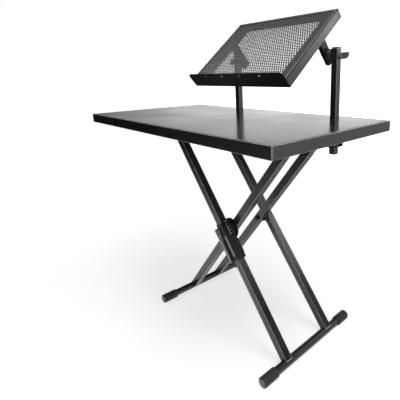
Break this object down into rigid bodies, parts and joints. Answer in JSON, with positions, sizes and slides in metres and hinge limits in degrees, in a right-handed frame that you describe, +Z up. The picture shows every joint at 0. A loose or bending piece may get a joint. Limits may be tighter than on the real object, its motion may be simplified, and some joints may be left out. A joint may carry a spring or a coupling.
{
  "type": "two-tier dj table",
  "caption": "Folding scissor-leg DJ table with a framed top and a raised perforated laptop tray that tilts between two posts; the legs lock with a toothed hub.",
  "frame": {"origin": "on the floor under the middle of the table top", "axes": "+X along the table's long side, +Y from its front edge to its back, +Z up"},
  "size_m": [1, 0.51, 1.0436],
  "materials": {
    "powder_coat": "satin black powder coat",
    "dark_coat": "matt black paint",
    "laminate": "black laminate, satin",
    "plastic": "moulded, matt black",
    "rubber": "moulded, matt black",
    "zinc": "zinc plated",
    "nylon": "moulded, dark grey"
  },
  "bodies": {
    "frame_a": {"leg_a_near": "powder_coat", "leg_a_far": "powder_coat", "foot_tube_a": "powder_coat", "foot_cap_a_front": "rubber", "foot_cap_a_back": "rubber", "top_rod_a": "zinc", "cross_tube_a": "powder_coat", "glide_near": "nylon", "glide_far": "nylon", "pivot_bolt_near": "dark_coat", "pivot_bolt_far": "dark_coat", "pivot_nut_near": "dark_coat", "pivot_nut_far": "dark_coat", "pivot_spacer_far": "plastic", "hub_plate": "dark_coat", "lock_housing": "plastic", "pawl_cover": "dark_coat", "pawl_spring": "zinc", "lever_pin": "zinc"},
    "frame_b": {"leg_b_near": "powder_coat", "leg_b_far": "powder_coat", "foot_tube_b": "powder_coat", "foot_cap_b_front": "rubber", "foot_cap_b_back": "rubber", "cross_tube_b": "powder_coat", "top_axle_b": "zinc", "ratchet_wheel": "zinc", "wheel_disc": "dark_coat"},
    "table": {"table_frame": "powder_coat", "table_board": "laminate", "slide_rail_near": "dark_coat", "slide_rail_far": "dark_coat", "hinge_bracket_near": "dark_coat", "hinge_bracket_far": "dark_coat", "post_left": "powder_coat", "post_right": "powder_coat", "post_cap_left": "plastic", "post_cap_right": "plastic", "post_strap_left": "dark_coat", "post_strap_right": "dark_coat", "knuckle_post_disc_left": "plastic", "knuckle_post_disc_right": "plastic"},
    "tray": {"tray_frame": "powder_coat", "tray_panel": "powder_coat", "tray_rail_left": "dark_coat", "tray_rail_right": "dark_coat", "lip_plate": "dark_coat", "tray_arm_left": "dark_coat", "tray_arm_right": "dark_coat", "knuckle_arm_disc_left": "plastic", "knuckle_arm_disc_right": "plastic", "tilt_bolt_left": "dark_coat", "tilt_bolt_right": "dark_coat"},
    "lever": {"release_lever": "plastic"},
    "pawl": {"lock_pawl": "zinc"},
    "knob_left": {"tilt_knob_left": "plastic"},
    "knob_right": {"tilt_knob_right": "plastic"}
  },
  "joints": [
    {"name": "fold", "type": "hinge", "parent": "frame_a", "child": "frame_b", "pos_m": [0.1241, 0, 0.35569], "axis": [0, 1, 0], "range_deg": [-17.94, 78.06]},
    {"name": "table_level", "type": "hinge", "parent": "frame_b", "child": "table", "pos_m": [0.37837, 0, 0.67002], "axis": [0, 1, 0], "range_deg": [-39.04, 8.98]},
    {"name": "tray_tilt", "type": "hinge", "parent": "table", "child": "tray", "pos_m": [0.0953, 0.2065, 0.904], "axis": [1, 0, 0], "range_deg": [-40.6, 29.4]},
    {"name": "knob_left_turn", "type": "hinge", "parent": "table", "child": "knob_left", "pos_m": [-0.1514, 0.2065, 0.904], "axis": [1, 0, 0], "continuous": true},
    {"name": "knob_right_turn", "type": "hinge", "parent": "table", "child": "knob_right", "pos_m": [0.342, 0.2065, 0.904], "axis": [1, 0, 0], "continuous": true},
    {"name": "lever_squeeze", "type": "hinge", "parent": "frame_a", "child": "lever", "pos_m": [0.17174, -0.0977, 0.26817], "axis": [0, 1, 0], "range_deg": [0, 5], "stiffness_Nm_per_rad": 6, "springref_deg": -2.86},
    {"name": "pawl_slide", "type": "slide", "parent": "frame_a", "child": "pawl", "axis": [0.6289, 0, -0.7775], "range_m": [0, 0.0051], "deforming": ["pawl_spring"]}
  ],
  "couplings": [
    {"joint": "table_level", "follows": "fold", "ratio": -0.5},
    {"joint": "pawl_slide", "follows": "lever_squeeze", "m_per_rad": 0.058}
  ]
}
